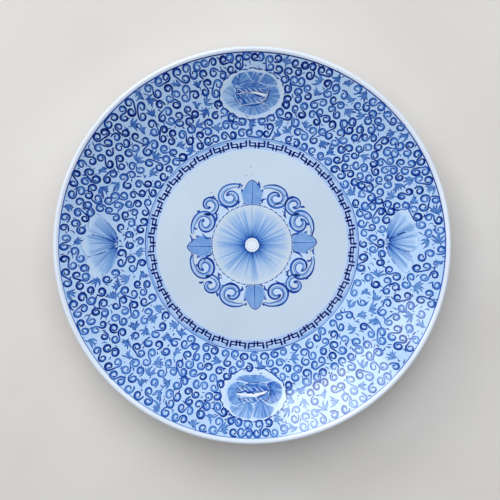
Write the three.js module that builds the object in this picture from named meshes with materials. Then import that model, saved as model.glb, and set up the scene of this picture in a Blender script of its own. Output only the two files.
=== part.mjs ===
// A wide, shallow porcelain serving dish, painted in underglaze blue.
//
// The fired dish is one piece of porcelain. It is built here from the zones that a potter makes and
// finishes one by one: the floor, the flared wall, the turned foot ring, the rounded lip, and the glaze
// coats, which are divided where the painting changes. Every zone is a ring or disc turned about +Z.
// Neighbouring zones share their boundary points, so they fit face to face as the fired dish does.
// Units are millimetres. +Z is up, the dish stands on z = 0, and its axis is the Z axis.

import * as THREE from 'three';

// ---- Driving dimensions ----

const RIM_RADIUS = 151.5;
const HEIGHT = 48;
const LIP_THICKNESS = 3.8;
const LIP_LENGTH = 1.2;
const RIM_SLOPE = THREE.MathUtils.degToRad(36);

const WELL_RADIUS = 80;
const WELL_HEIGHT = 12.5;
const WELL_THICKNESS = 5.8;
const GLAZE = 0.5;

const MEDALLION_RADIUS = 51;
const FRET_INNER_RADIUS = 74.5;
const FRET_OUTER_RADIUS = 84.5;

const BASE_HEIGHT = 7.5;
const FOOT_INNER_RADIUS = 83;
const FOOT_OUTER_RADIUS = 88;
const FOOT_BEVEL = 0.9;
const FOOT_ROOT_INNER_RADIUS = 81.4;
const FOOT_JUNCTION_STATION = 88.6;
const BARE_FOOT_HEIGHT = 1.8;

const SEGMENTS = 72;
const WALL_STEPS = 6;
const OUTER_STEPS = 5;
const LIP_STEPS = 10;

// ---- The wall's curve ----
// The inner surface is flat over the well, then climbs as a power curve that meets the lip at RIM_SLOPE.

const lipRadius = LIP_THICKNESS / 2;
const lipCentre = new THREE.Vector2(RIM_RADIUS - lipRadius, HEIGHT - lipRadius);
const lipStart = new THREE.Vector2(
  lipCentre.x - lipRadius * Math.sin(RIM_SLOPE) - LIP_LENGTH * Math.cos(RIM_SLOPE),
  lipCentre.y + lipRadius * Math.cos(RIM_SLOPE) - LIP_LENGTH * Math.sin(RIM_SLOPE),
);
const wallRun = lipStart.x - WELL_RADIUS;
const wallRise = lipStart.y - WELL_HEIGHT;
const wallPower = (Math.tan(RIM_SLOPE) * wallRun) / wallRise;

function along(radius) {
  return Math.max(0, (radius - WELL_RADIUS) / wallRun);
}

function innerHeight(radius) {
  return WELL_HEIGHT + wallRise * along(radius) ** wallPower;
}

function slope(radius) {
  return Math.atan((wallPower * wallRise * along(radius) ** (wallPower - 1)) / wallRun);
}

function thickness(radius) {
  return THREE.MathUtils.lerp(WELL_THICKNESS, LIP_THICKNESS, along(radius));
}

// The point that lies `depth` under the inner surface, square to it.
function under(radius, depth) {
  const angle = slope(radius);
  return new THREE.Vector2(
    radius + depth * Math.sin(angle),
    innerHeight(radius) - depth * Math.cos(angle),
  );
}

const glazeTop = (radius) => under(radius, 0);
const biscuitTop = (radius) => under(radius, GLAZE);
const biscuitUnderside = (radius) => under(radius, thickness(radius) - GLAZE);
const glazeUnderside = (radius) => under(radius, thickness(radius));

function stations(from, to, steps) {
  return Array.from({ length: steps + 1 }, (_, i) => THREE.MathUtils.lerp(from, to, i / steps));
}

const fretStations = [FRET_INNER_RADIUS, WELL_RADIUS, FRET_OUTER_RADIUS];
const scrollStations = stations(FRET_OUTER_RADIUS, lipStart.x, WALL_STEPS);
const wallStations = [WELL_RADIUS, ...scrollStations];
const outerStations = stations(FOOT_JUNCTION_STATION, lipStart.x, OUTER_STEPS);

// ---- The foot's corners ----

const point = (radius, height) => new THREE.Vector2(radius, height);
const footRootOuter = point(biscuitUnderside(FOOT_JUNCTION_STATION).x, BASE_HEIGHT);
const footRootInner = point(FOOT_ROOT_INNER_RADIUS, BASE_HEIGHT);
const footBevelOuter = point(FOOT_OUTER_RADIUS + FOOT_BEVEL, FOOT_BEVEL);
const footBevelInner = point(FOOT_INNER_RADIUS - FOOT_BEVEL, FOOT_BEVEL);

// Where the glaze stops on a side of the foot, above the bare edge that stood on the kiln shelf.
function glazeStop(bevel, root) {
  return bevel.clone().lerp(root, (BARE_FOOT_HEIGHT - bevel.y) / (root.y - bevel.y));
}

// ---- Materials ----

function porcelain(colour, roughness) {
  return new THREE.MeshStandardMaterial({ color: colour, roughness, metalness: 0 });
}

const biscuit = porcelain(0xe9e4d8, 0.75);
const paleGlaze = porcelain(0xc8d8ea, 0.12);
const whiteGlaze = porcelain(0xeef2f6, 0.12);
const blueWash = porcelain(0x9dbbe6, 0.14);
const blueScroll = porcelain(0x6f93d8, 0.14);
const navyLine = porcelain(0x3a478f, 0.14);

// ---- Turned solids ----

// Profiles run anticlockwise in the (radius, height) plane, so that the faces point outwards.
// A ring's profile closes on itself, and a disc's profile starts and ends on the axis.
function turned(name, profile, material) {
  const isDisc = profile[0].x === 0;
  const outline = isDisc ? profile : [...profile, profile[0]];
  const halfStep = Math.PI / SEGMENTS;
  const geometry = new THREE.LatheGeometry(outline, SEGMENTS, halfStep, 2 * Math.PI);
  geometry.rotateX(Math.PI / 2);
  const mesh = new THREE.Mesh(geometry, material);
  mesh.name = name;
  return mesh;
}

// A coat of glaze on the inner surface, over the given stations.
function innerCoat(name, radii, material) {
  const backwards = [...radii].reverse();
  return turned(name, [...radii.map(biscuitTop), ...backwards.map(glazeTop)], material);
}

function floorSlab() {
  const profile = [
    point(0, BASE_HEIGHT),
    point(WELL_RADIUS, BASE_HEIGHT),
    point(WELL_RADIUS, WELL_HEIGHT - GLAZE),
    point(FRET_INNER_RADIUS, WELL_HEIGHT - GLAZE),
    point(MEDALLION_RADIUS, WELL_HEIGHT - GLAZE),
    point(0, WELL_HEIGHT - GLAZE),
  ];
  return turned('floor_slab', profile, biscuit);
}

function flaredWall() {
  const profile = [
    point(WELL_RADIUS, BASE_HEIGHT),
    footRootInner,
    footRootOuter,
    ...outerStations.map(biscuitUnderside),
    ...[...wallStations].reverse().map(biscuitTop),
  ];
  return turned('flared_wall', profile, biscuit);
}

function footRing() {
  const profile = [
    point(FOOT_INNER_RADIUS, 0),
    point(FOOT_OUTER_RADIUS, 0),
    footBevelOuter,
    glazeStop(footBevelOuter, footRootOuter),
    footRootOuter,
    footRootInner,
    glazeStop(footBevelInner, footRootInner),
    footBevelInner,
  ];
  return turned('foot_ring', profile, biscuit);
}

function rimLip() {
  const startAngle = RIM_SLOPE - Math.PI / 2;
  const rounded = stations(0, Math.PI, LIP_STEPS).map((turn) => point(
    lipCentre.x + lipRadius * Math.cos(startAngle + turn),
    lipCentre.y + lipRadius * Math.sin(startAngle + turn),
  ));
  const cut = [glazeTop, biscuitTop, biscuitUnderside, glazeUnderside].map((layer) => layer(lipStart.x));
  return turned('rim_lip', [...rounded, ...cut], whiteGlaze);
}

function medallionGlaze() {
  const profile = [
    point(0, WELL_HEIGHT - GLAZE),
    point(MEDALLION_RADIUS, WELL_HEIGHT - GLAZE),
    point(MEDALLION_RADIUS, WELL_HEIGHT),
    point(0, WELL_HEIGHT),
  ];
  return turned('medallion_glaze', profile, blueWash);
}

function outerGlaze() {
  const stop = glazeStop(footBevelOuter, footRootOuter);
  const [junction, ...higher] = outerStations;
  const profile = [
    stop,
    point(stop.x + GLAZE, stop.y),
    point(footRootOuter.x + GLAZE, glazeUnderside(junction).y - GLAZE / 2),
    ...higher.map(glazeUnderside),
    ...[...higher].reverse().map(biscuitUnderside),
    biscuitUnderside(junction),
    footRootOuter,
  ];
  return turned('outer_glaze', profile, whiteGlaze);
}

function baseGlaze() {
  const stop = glazeStop(footBevelInner, footRootInner);
  const profile = [
    point(0, BASE_HEIGHT - GLAZE),
    point(footRootInner.x - GLAZE / 2, BASE_HEIGHT - GLAZE),
    point(stop.x - GLAZE, stop.y),
    stop,
    footRootInner,
    point(WELL_RADIUS, BASE_HEIGHT),
    point(0, BASE_HEIGHT),
  ];
  return turned('base_glaze', profile, whiteGlaze);
}

// ---- The dish ----

const dish = new THREE.Group();
dish.add(
  floorSlab(),
  flaredWall(),
  footRing(),
  rimLip(),
  medallionGlaze(),
  innerCoat('field_glaze', [MEDALLION_RADIUS, FRET_INNER_RADIUS], paleGlaze),
  innerCoat('fret_border_glaze', fretStations, navyLine),
  innerCoat('scroll_band_glaze', scrollStations, blueScroll),
  outerGlaze(),
  baseGlaze(),
);

export default dish;
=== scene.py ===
"""A wide, shallow porcelain dish with underglaze blue painting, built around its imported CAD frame.

Lengths are in millimetres until a mesh is made, which is in metres, as the lights and the camera are.
The dish stands on z = 0 and its axis is the Z axis. The painting is laid out in plan, as (x, y) seen
from above, and each brush stroke is a thin closed solid that lies on the curved glaze, with its colour
stored as a per-point ink density.
"""

import math

import bpy
import numpy as np
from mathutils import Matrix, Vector


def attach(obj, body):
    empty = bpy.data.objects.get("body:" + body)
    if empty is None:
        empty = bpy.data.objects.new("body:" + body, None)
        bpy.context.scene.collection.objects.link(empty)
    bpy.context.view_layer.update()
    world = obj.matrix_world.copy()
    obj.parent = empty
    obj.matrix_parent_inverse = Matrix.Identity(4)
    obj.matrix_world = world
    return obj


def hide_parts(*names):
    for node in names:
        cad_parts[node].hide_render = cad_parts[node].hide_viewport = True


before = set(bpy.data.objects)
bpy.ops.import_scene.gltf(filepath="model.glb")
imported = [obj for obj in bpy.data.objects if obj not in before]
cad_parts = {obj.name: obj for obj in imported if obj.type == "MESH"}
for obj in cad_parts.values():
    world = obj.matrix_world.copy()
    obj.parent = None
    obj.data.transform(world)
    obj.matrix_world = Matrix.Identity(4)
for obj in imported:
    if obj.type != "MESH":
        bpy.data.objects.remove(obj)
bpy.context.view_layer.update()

MM = 0.001
random = np.random.default_rng(11)


# ---- Sizes taken from the CAD frame, with the wall's curve repeated from the part's source ----

def node_points(name):
    """The points of a CAD node."""
    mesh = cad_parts[name].data
    flat = np.zeros(len(mesh.vertices) * 3, np.float32)
    mesh.vertices.foreach_get("co", flat)
    return flat.reshape(-1, 3).astype(float) / MM


def node_radii(name):
    """The smallest and the largest distance of a CAD node's points from the axis."""
    points = node_points(name)
    radii = np.hypot(points[:, 0], points[:, 1])
    return radii.min(), radii.max()


RIM_RADIUS = node_radii("rim_lip")[1]
HEIGHT = node_points("rim_lip")[:, 2].max()
WELL_HEIGHT = node_points("medallion_glaze")[:, 2].max()
MEDALLION_RADIUS = node_radii("medallion_glaze")[1]
FRET_INNER_RADIUS = node_radii("fret_border_glaze")[0]
FRET_OUTER_RADIUS = node_radii("scroll_band_glaze")[0]
BASE_HEIGHT = node_points("foot_ring")[:, 2].max()

LIP_THICKNESS = 3.8
LIP_LENGTH = 1.2
RIM_SLOPE = math.radians(36)
WELL_RADIUS = 80.0
WELL_THICKNESS = 5.8
GLAZE = 0.5
FOOT_INNER_RADIUS = 83.0
FOOT_OUTER_RADIUS = 88.0
FOOT_BEVEL = 0.9
FOOT_ROOT_INNER_RADIUS = 81.4
FOOT_JUNCTION_STATION = 88.6
BARE_FOOT_HEIGHT = 1.8
FLAT_RADIUS = 60.0

lip_radius = LIP_THICKNESS / 2
lip_centre = (RIM_RADIUS - lip_radius, HEIGHT - lip_radius)
LIP_START = lip_centre[0] - lip_radius * math.sin(RIM_SLOPE) - LIP_LENGTH * math.cos(RIM_SLOPE)
lip_start_height = lip_centre[1] + lip_radius * math.cos(RIM_SLOPE) - LIP_LENGTH * math.sin(RIM_SLOPE)
wall_run = LIP_START - WELL_RADIUS
wall_rise = lip_start_height - WELL_HEIGHT
wall_power = math.tan(RIM_SLOPE) * wall_run / wall_rise


def along_wall(radius):
    return np.clip((np.asarray(radius, float) - WELL_RADIUS) / wall_run, 0, None)


def inner_height(radius):
    return WELL_HEIGHT + wall_rise * along_wall(radius) ** wall_power


def inner_slope(radius):
    return np.arctan(wall_power * wall_rise * along_wall(radius) ** (wall_power - 1) / wall_run)


def thickness(radius):
    return WELL_THICKNESS + (LIP_THICKNESS - WELL_THICKNESS) * along_wall(radius)


def under(radius, depth):
    """Profile points (radius, height) that lie depth under the inner surface, square to it."""
    slope = inner_slope(radius)
    return np.stack([radius + depth * np.sin(slope), inner_height(radius) - depth * np.cos(slope)], -1)


# ---- Materials: one recipe of glossy glaze over white porcelain and cobalt ink ----

def srgb(red, green, blue):
    """A linear colour from sRGB values between 0 and 255."""
    channels = np.array([red, green, blue]) / 255
    linear = np.where(channels <= 0.04045, channels / 12.92, ((channels + 0.055) / 1.055) ** 2.4)
    return (*linear, 1.0)


# The colour of the ink by its density, and the density from which it hides the glaze.
INK_STOPS = (
    (0.00, srgb(172, 203, 240)),
    (0.18, srgb(146, 184, 231)),
    (0.38, srgb(104, 150, 211)),
    (0.58, srgb(56, 108, 192)),
    (0.78, srgb(18, 62, 156)),
    (1.00, srgb(0, 18, 104)),
)
INK_FULL_COVER = 0.26
WHITE_GLAZE = srgb(240, 245, 250)


class Nodes:
    """A short way to write a material's node tree."""

    def __init__(self, name):
        self.material = bpy.data.materials.new(name)
        self.material.use_nodes = True
        self.tree = self.material.node_tree
        self.shader = self.tree.nodes["Principled BSDF"]

    def add(self, kind, inputs=(), **settings):
        node = self.tree.nodes.new(kind)
        for key, value in settings.items():
            setattr(node, key, value)
        for key, value in dict(inputs).items():
            self.set(node.inputs[key], value)
        return node

    def set(self, socket, value):
        if isinstance(value, bpy.types.NodeSocket):
            self.tree.links.new(value, socket)
        else:
            socket.default_value = value

    def math(self, operation, first, second=0.0, clamp=False):
        node = self.add("ShaderNodeMath", operation=operation, use_clamp=clamp)
        self.set(node.inputs[0], first)
        self.set(node.inputs[1], second)
        return node.outputs[0]

    def mix(self, factor, first, second):
        node = self.add("ShaderNodeMix", data_type="RGBA")
        self.set(node.inputs[0], factor)
        self.set(node.inputs[6], first)
        self.set(node.inputs[7], second)
        return node.outputs[2]

    def noise(self, scale, detail, roughness=0.5):
        place = self.add("ShaderNodeTexCoord").outputs["Object"]
        return self.add(
            "ShaderNodeTexNoise",
            {"Vector": place, "Scale": scale, "Detail": detail, "Roughness": roughness},
        ).outputs["Fac"]

    def spread(self, value, low, high):
        """Maps a noise's usual range to low..high."""
        node = self.add("ShaderNodeMapRange", clamp=True)
        for key, number in (("From Min", 0.3), ("From Max", 0.7), ("To Min", low), ("To Max", high)):
            node.inputs[key].default_value = number
        self.set(node.inputs["Value"], value)
        return node.outputs[0]

    def ramp(self, factor, stops):
        node = self.add("ShaderNodeValToRGB", {"Fac": factor})
        elements = node.color_ramp.elements
        elements.remove(elements[1])
        elements[0].position, elements[0].color = stops[0]
        for position, colour in stops[1:]:
            elements.new(position).color = colour
        return node.outputs["Color"]


def glaze_material(name, ground, mottled=0.5):
    """Clear gloss glaze whose ground colour varies softly. The mesh's ink attribute paints on it, from
    pale wash to dark cobalt, and ink below zero whitens it."""
    nodes = Nodes(name)
    broad = nodes.noise(14, 3)
    fine = nodes.noise(240, 4, 0.6)
    pale = tuple(min(1.0, channel * 1.035) for channel in ground[:3]) + (1.0,)
    deep = tuple(channel * (1 - 0.09 * mottled) for channel in ground[:3]) + (1.0,)
    soft = nodes.mix(nodes.spread(broad, 0, 1), deep, pale)
    fine_factor = nodes.spread(fine, 0, 0.07 * mottled)
    ground_colour = nodes.mix(fine_factor, soft, srgb(150, 172, 205))
    ink = nodes.add("ShaderNodeAttribute", attribute_name="ink").outputs["Fac"]
    brushed = nodes.noise(620, 3, 0.65)
    grain = nodes.math("MULTIPLY", nodes.math("SUBTRACT", brushed, 0.5), 0.34)
    density = nodes.math("ADD", ink, nodes.math("MULTIPLY", grain, nodes.math("ABSOLUTE", ink)))
    white_share = nodes.math("MULTIPLY", ink, -1.0, clamp=True)
    whitened = nodes.mix(white_share, ground_colour, WHITE_GLAZE)
    cover = nodes.math("DIVIDE", density, INK_FULL_COVER, clamp=True)
    inked = nodes.ramp(density, INK_STOPS)
    nodes.set(nodes.shader.inputs["Base Color"], nodes.mix(cover, whitened, inked))
    nodes.set(nodes.shader.inputs["Roughness"], nodes.spread(nodes.noise(38, 3), 0.06, 0.11))
    ripple = nodes.noise(26, 2)
    bump = nodes.add("ShaderNodeBump", {"Height": ripple, "Strength": 0.12, "Distance": 0.0012})
    nodes.set(nodes.shader.inputs["Normal"], bump.outputs["Normal"])
    return nodes.material


def biscuit_material(name):
    """Bare fired porcelain: matt, faintly gritty, and toasted a little where the glaze stops."""
    nodes = Nodes(name)
    grit = nodes.noise(900, 5, 0.7)
    toast = nodes.noise(45, 3)
    clay = nodes.mix(nodes.spread(grit, 0, 1), srgb(224, 216, 202), srgb(241, 237, 228))
    toasted = nodes.mix(nodes.spread(toast, 0, 0.35), clay, srgb(205, 172, 134))
    nodes.set(nodes.shader.inputs["Base Color"], toasted)
    nodes.set(nodes.shader.inputs["Roughness"], nodes.spread(grit, 0.6, 0.85))
    bump = nodes.add("ShaderNodeBump", {"Height": grit, "Strength": 0.25, "Distance": 0.0002})
    nodes.set(nodes.shader.inputs["Normal"], bump.outputs["Normal"])
    return nodes.material


FIELD_COLOUR = srgb(204, 219, 232)
BAND_COLOUR = srgb(193, 221, 252)
field_glaze = glaze_material("field_glaze_material", FIELD_COLOUR)
band_glaze = glaze_material("band_glaze_material", BAND_COLOUR)
fret_glaze = glaze_material("fret_glaze_material", srgb(201, 218, 243))
medallion_glaze = glaze_material("medallion_glaze_material", srgb(203, 224, 248))
white_glaze = glaze_material("white_glaze_material", srgb(233, 241, 252))
line_glaze = glaze_material("line_glaze_material", srgb(58, 98, 180), mottled=1.6)
biscuit = biscuit_material("biscuit_material")


# ---- Mesh pieces ----

BAKE_UV = "OFBake"
UV_MARGIN = 0.01
UV_HIDDEN = 0.002


def make_piece(name, points, faces, material, nodes=()):
    """A smooth mesh piece that rides on the dish's one body. Points are in millimetres."""
    mesh = bpy.data.meshes.new(name)
    mesh.from_pydata((np.asarray(points) * MM).tolist(), [], faces)
    mesh.polygons.foreach_set("use_smooth", np.ones(len(mesh.polygons), bool))
    mesh.materials.append(material)
    piece = bpy.data.objects.new(name, mesh)
    bpy.context.scene.collection.objects.link(piece)
    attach(piece, "root")
    if nodes:
        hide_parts(*nodes)
    return piece


def plan_uv(mesh, seen_loops):
    """Maps the first seen_loops corners from above, and gathers the hidden undersides in one point."""
    layer = mesh.uv_layers.new(name=BAKE_UV)
    corners = np.zeros(len(mesh.loops), np.int32)
    mesh.loops.foreach_get("vertex_index", corners)
    flat = np.zeros(len(mesh.vertices) * 3, np.float32)
    mesh.vertices.foreach_get("co", flat)
    plan = flat.reshape(-1, 3)[:, :2]
    low = plan.min(0)
    size = (plan.max(0) - low).max()
    uv = UV_MARGIN + (1 - 2 * UV_MARGIN) * (plan[corners] - low) / size
    uv[seen_loops:] = UV_HIDDEN
    layer.data.foreach_set("uv", uv.astype(np.float32).ravel())


SEGMENTS = 384
SHARP_ANGLE = math.radians(40)


def turned(name, profile, material, nodes=()):
    """A closed ring or disc turned about Z. The profile runs anticlockwise in (radius, height)."""
    profile = np.asarray(profile, float)
    on_axis = profile[:, 0] < 1e-6
    body = profile[~on_axis]
    rows = len(body)
    angles = np.arange(SEGMENTS) * 2 * math.pi / SEGMENTS
    circle = np.stack([np.cos(angles), np.sin(angles)], -1)
    plan = body[:, None, :1] * circle[None]
    heights = np.broadcast_to(body[:, None, 1:], (rows, SEGMENTS, 1))
    points = np.concatenate([plan, heights], -1).reshape(-1, 3)
    rings = np.arange(len(points)).reshape(rows, SEGMENTS)
    if not on_axis.any():
        rings = np.vstack([rings, rings[:1]])
    after = np.roll(rings, -1, axis=1)
    faces = np.stack([rings[:-1], after[:-1], after[1:], rings[1:]], -1).reshape(-1, 4).tolist()
    if on_axis.any():
        bottom, top = len(points), len(points) + 1
        points = np.vstack([points, *[(0, 0, height) for _, height in profile[on_axis][[0, -1]]]])
        for i in range(SEGMENTS):
            faces.append((bottom, after[0, i].item(), i))
            faces.append((top, rings[-1, i].item(), after[-1, i].item()))
    piece = make_piece(name, points, faces, material, nodes)
    piece.data.set_sharp_from_angle(angle=SHARP_ANGLE)


def stations(start, end, steps):
    return np.linspace(start, end, steps + 1)


def inner_coat(radii):
    """Profile of a coat on the inner surface: along its underside, then back along its top."""
    return np.vstack([under(radii, GLAZE), under(radii, 0)[::-1]])


def make_body():
    """The porcelain and its glaze coats, as fine turned pieces in the places of the CAD nodes."""
    turned("medallion_ground", inner_coat(stations(0, MEDALLION_RADIUS, 16)), field_glaze,
           ["medallion_glaze"])
    turned("field_ground", inner_coat(stations(MEDALLION_RADIUS, FRET_INNER_RADIUS, 12)),
           field_glaze, ["field_glaze"])
    fret_radii = np.concatenate([stations(FRET_INNER_RADIUS, WELL_RADIUS, 4),
                                 stations(WELL_RADIUS, FRET_OUTER_RADIUS, 8)[1:]])
    turned("fret_ground", inner_coat(fret_radii), fret_glaze,
           ["fret_border_glaze"])
    turned("scroll_ground", inner_coat(stations(FRET_OUTER_RADIUS, LIP_START, 72)), band_glaze,
           ["scroll_band_glaze"])

    angles = stations(0, math.pi, 26) + RIM_SLOPE - math.pi / 2
    rounded = np.stack([lip_centre[0] + lip_radius * np.cos(angles),
                        lip_centre[1] + lip_radius * np.sin(angles)], -1)
    cut = [under(LIP_START, depth) for depth in (0, GLAZE, LIP_THICKNESS - GLAZE, LIP_THICKNESS)]
    turned("rim_lip_glaze", np.vstack([rounded, cut]), white_glaze, ["rim_lip"])

    outer_radii = stations(FOOT_JUNCTION_STATION, LIP_START, 48)
    outside = under(outer_radii, thickness(outer_radii))
    bisque_outside = under(outer_radii, thickness(outer_radii) - GLAZE)
    root = (bisque_outside[0][0], BASE_HEIGHT)
    bevel = (FOOT_OUTER_RADIUS + FOOT_BEVEL, FOOT_BEVEL)
    stop = toward(bevel, root, BARE_FOOT_HEIGHT)
    fillet = curve([(root[0] + GLAZE, BASE_HEIGHT - 0.6),
                    (root[0] + GLAZE + 0.12, outside[1][1] - 1.5), outside[3]], 10)
    outer_profile = np.vstack([
        stop, (stop[0] + GLAZE * 0.5, stop[1]), (stop[0] + GLAZE, stop[1] + GLAZE * 0.7),
        fillet, outside[4:], bisque_outside[::-1], root,
    ])
    turned("outer_glaze_coat", outer_profile, white_glaze, ["outer_glaze"])

    inner_root = (FOOT_ROOT_INNER_RADIUS, BASE_HEIGHT)
    inner_bevel = (FOOT_INNER_RADIUS - FOOT_BEVEL, FOOT_BEVEL)
    inner_stop = toward(inner_bevel, inner_root, BARE_FOOT_HEIGHT)
    cove = curve([(FOOT_ROOT_INNER_RADIUS - 3, BASE_HEIGHT - GLAZE),
                  (FOOT_ROOT_INNER_RADIUS - 0.7, BASE_HEIGHT - 1.0),
                  (FOOT_ROOT_INNER_RADIUS - 0.15, BASE_HEIGHT - 3.2)], 8)
    base_profile = np.vstack([
        (0, BASE_HEIGHT - GLAZE), (FLAT_RADIUS / 2, BASE_HEIGHT - GLAZE),
        (FLAT_RADIUS, BASE_HEIGHT - GLAZE), cove,
        (inner_stop[0] - GLAZE, inner_stop[1] + GLAZE * 0.7), inner_stop, inner_root,
        (FLAT_RADIUS, BASE_HEIGHT), (0, BASE_HEIGHT),
    ])
    turned("base_glaze_coat", base_profile, white_glaze, ["base_glaze"])

    foot_profile = np.vstack([
        curve([inner_bevel, (FOOT_INNER_RADIUS - 0.3, 0.25), (FOOT_INNER_RADIUS, 0)], 6),
        curve([(FOOT_OUTER_RADIUS, 0), (FOOT_OUTER_RADIUS + 0.3, 0.25), bevel], 6),
        stop, root, inner_root, inner_stop,
    ])
    turned("foot_ring_biscuit", foot_profile, biscuit, ["foot_ring"])

    core_radii = np.concatenate([stations(WELL_RADIUS, FRET_OUTER_RADIUS, 4),
                                 stations(FRET_OUTER_RADIUS, LIP_START, 36)[1:]])
    core_profile = np.vstack([
        (0, BASE_HEIGHT), (FLAT_RADIUS, BASE_HEIGHT), inner_root, root, bisque_outside,
        under(core_radii, GLAZE)[::-1], (FLAT_RADIUS, WELL_HEIGHT - GLAZE), (0, WELL_HEIGHT - GLAZE),
    ])
    turned("porcelain_core", core_profile, biscuit,
           ["floor_slab", "flared_wall"])


def toward(start, end, height):
    """The point at the given height on the line from start to end, as (radius, height)."""
    share = (height - start[1]) / (end[1] - start[1])
    return (start[0] + share * (end[0] - start[0]), height)


def curve(points, steps):
    """A smooth Catmull-Rom curve through the points, with the given number of steps per span."""
    points = np.asarray(points, float)
    padded = np.vstack([2 * points[0] - points[1], points, 2 * points[-1] - points[-2]])
    spans = []
    for i in range(len(points) - 1):
        a, b, c, d = padded[i:i + 4]
        t = np.linspace(0, 1, steps, endpoint=False)[:, None]
        spans.append(0.5 * (2 * b + (c - a) * t + (2 * a - 5 * b + 4 * c - d) * t ** 2
                            + (3 * b - a - 3 * c + d) * t ** 3))
    return np.vstack([*spans, points[-1:]])


# ---- Brush work: thin closed solids on the inner glaze, laid out in plan ----

TAU = 2 * math.pi
# Heights over the glaze of a stroke's edges and of its underside, and the radius paint stops at.
SUNK = -0.03
HIDDEN = -0.12
PAINT_LIMIT = 147.9


def polar(radius, angle):
    radius, angle = np.broadcast_arrays(radius, angle)
    return np.stack([radius * np.cos(angle), radius * np.sin(angle)], -1)


def wandering(count):
    """A function of the place round a closed loop, from 0 to 1, that drifts between random values
    from -1 to 1."""
    values = random.uniform(-1, 1, count)
    closed = np.append(values, values[0])
    return lambda places: np.interp(np.mod(places, 1) * count, np.arange(count + 1), closed)


def wander(places, count):
    return wandering(count)(places)


class Painting:
    """Collects strokes and washes, then makes one piece of them that stands lift above the glaze."""

    def __init__(self, lift):
        self.lift = lift
        self.points, self.inks, self.normals = [], [], []
        self.seen, self.hidden, self.caps = [], [], []
        self.count = 0

    def place(self, plan, lifts, inks):
        """Adds points on the glaze and returns the index of the first one."""
        plan = plan.reshape(-1, 2)
        radii = np.hypot(plan[:, 0], plan[:, 1])
        plan = plan * np.minimum(1, PAINT_LIMIT / np.maximum(radii, 1e-6))[:, None]
        radii = np.minimum(radii, PAINT_LIMIT)
        slope = inner_slope(radii)
        heights = inner_height(radii) + lifts.ravel() / np.cos(slope)
        lean = -np.sin(slope)[:, None] * plan / np.maximum(radii, 1e-6)[:, None]
        self.points.append(np.column_stack([plan, heights]))
        self.normals.append(np.column_stack([lean, np.cos(slope)]))
        self.inks.append(inks.ravel())
        first = self.count
        self.count += len(plan)
        return first

    def stroke(self, line, width, ink):
        """A brush stroke along a line. Width and ink are one number, a number per point, or a tuple
        with taper's start, middle, end and peak. Ink can also be per point and place across, from the
        right of the stroke to its left."""
        line = np.asarray(line, float)
        width, ink = [taper(len(line), *value) if isinstance(value, tuple) else value
                      for value in (width, ink)]
        ink = np.asarray(ink, float)
        if ink.ndim < 2:
            ink = np.broadcast_to(ink, len(line))[:, None] * np.ones(5)
        rows, across = len(line), ink.shape[1]
        ink = np.broadcast_to(ink, (rows, across))
        width = np.broadcast_to(width, rows)
        along = np.gradient(line, axis=0)
        along /= np.maximum(np.hypot(along[:, 0], along[:, 1]), 1e-9)[:, None]
        left = np.stack([-along[:, 1], along[:, 0]], -1)
        offsets = np.linspace(-0.5, 0.5, across)
        plan = line[:, None] + left[:, None] * (width[:, None] * offsets)[..., None]
        lifts = np.full((rows, across), self.lift)
        lifts[:, [0, -1]] = SUNK
        top = self.place(plan, lifts, ink) + np.arange(rows * across).reshape(rows, across)
        deep = np.full((rows, across - 2), HIDDEN)
        below = self.place(plan[:, 1:-1], deep, ink[:, 1:-1])
        below = below + np.arange(deep.size).reshape(deep.shape)
        loop = np.hstack([top, below[:, ::-1]])
        after = np.roll(loop, -1, axis=1)
        quads = np.stack([loop[:-1], loop[1:], after[1:], after[:-1]], -1)
        self.seen.append(quads[:, :across - 1].reshape(-1, 4))
        self.hidden.append(quads[:, across - 1:].reshape(-1, 4))
        self.caps.append(loop[0].tolist())
        self.caps.append(loop[-1][::-1].tolist())

    def flick(self, start, end, bend, steps, width, ink):
        """A stroke along a bowed segment."""
        self.stroke(segment(start, end, bend, steps), width, ink)

    def patch(self, centre, outline, ink, rings):
        """A wash inside a closed outline. Ink is a function of plan points, and of the share
        of the way from the centre to the outline."""
        outline = np.asarray(outline, float)
        after = np.roll(outline, -1, axis=0)
        if np.sum(outline[:, 0] * after[:, 1] - outline[:, 1] * after[:, 0]) < 0:
            outline = outline[::-1]
        spokes = len(outline)
        share = np.linspace(0, 1, rings + 1)[1:, None]
        plan = centre + share[..., None] * (outline[None] - centre)
        density = np.broadcast_to(ink(plan, share), (rings, spokes))
        middle = np.mean(ink(np.asarray(centre, float).reshape(1, 1, 2), np.zeros((1, 1))))
        lifts = np.full((rings, spokes), self.lift)
        lifts[-1] = SUNK
        top = self.place(plan, lifts, density) + np.arange(rings * spokes).reshape(rings, spokes)
        deep = np.full((rings - 1, spokes), HIDDEN)
        below = self.place(plan[:-1], deep, density[:-1]) + np.arange(deep.size).reshape(deep.shape)
        below = np.vstack([below, top[-1:]])
        hub = self.place(np.asarray(centre, float), np.array([self.lift]), np.array([middle]))
        under_hub = self.place(np.asarray(centre, float), np.array([HIDDEN]), np.array([middle]))
        self.seen.append(ring_quads(top))
        self.hidden.append(ring_quads(below)[:, ::-1])
        after = np.roll(np.arange(spokes), -1)
        self.caps += [[hub, a, b] for a, b in zip(top[0].tolist(), top[0][after].tolist())]
        self.caps += [[under_hub, b, a] for a, b in zip(below[0].tolist(), below[0][after].tolist())]

    def make(self, name, material, slot_name):
        seen = np.vstack(self.seen).tolist()
        hidden = np.vstack(self.hidden).tolist()
        faces = seen + self.caps + hidden
        mesh = make_piece(name, np.vstack(self.points), faces, material).data
        ink = mesh.attributes.new("ink", "FLOAT", "POINT")
        ink.data.foreach_set("value", np.concatenate(self.inks).astype(np.float32))
        plan_uv(mesh, 4 * len(seen) + sum(len(cap) for cap in self.caps))
        mesh.normals_split_custom_set_from_vertices(np.vstack(self.normals).tolist())


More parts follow.
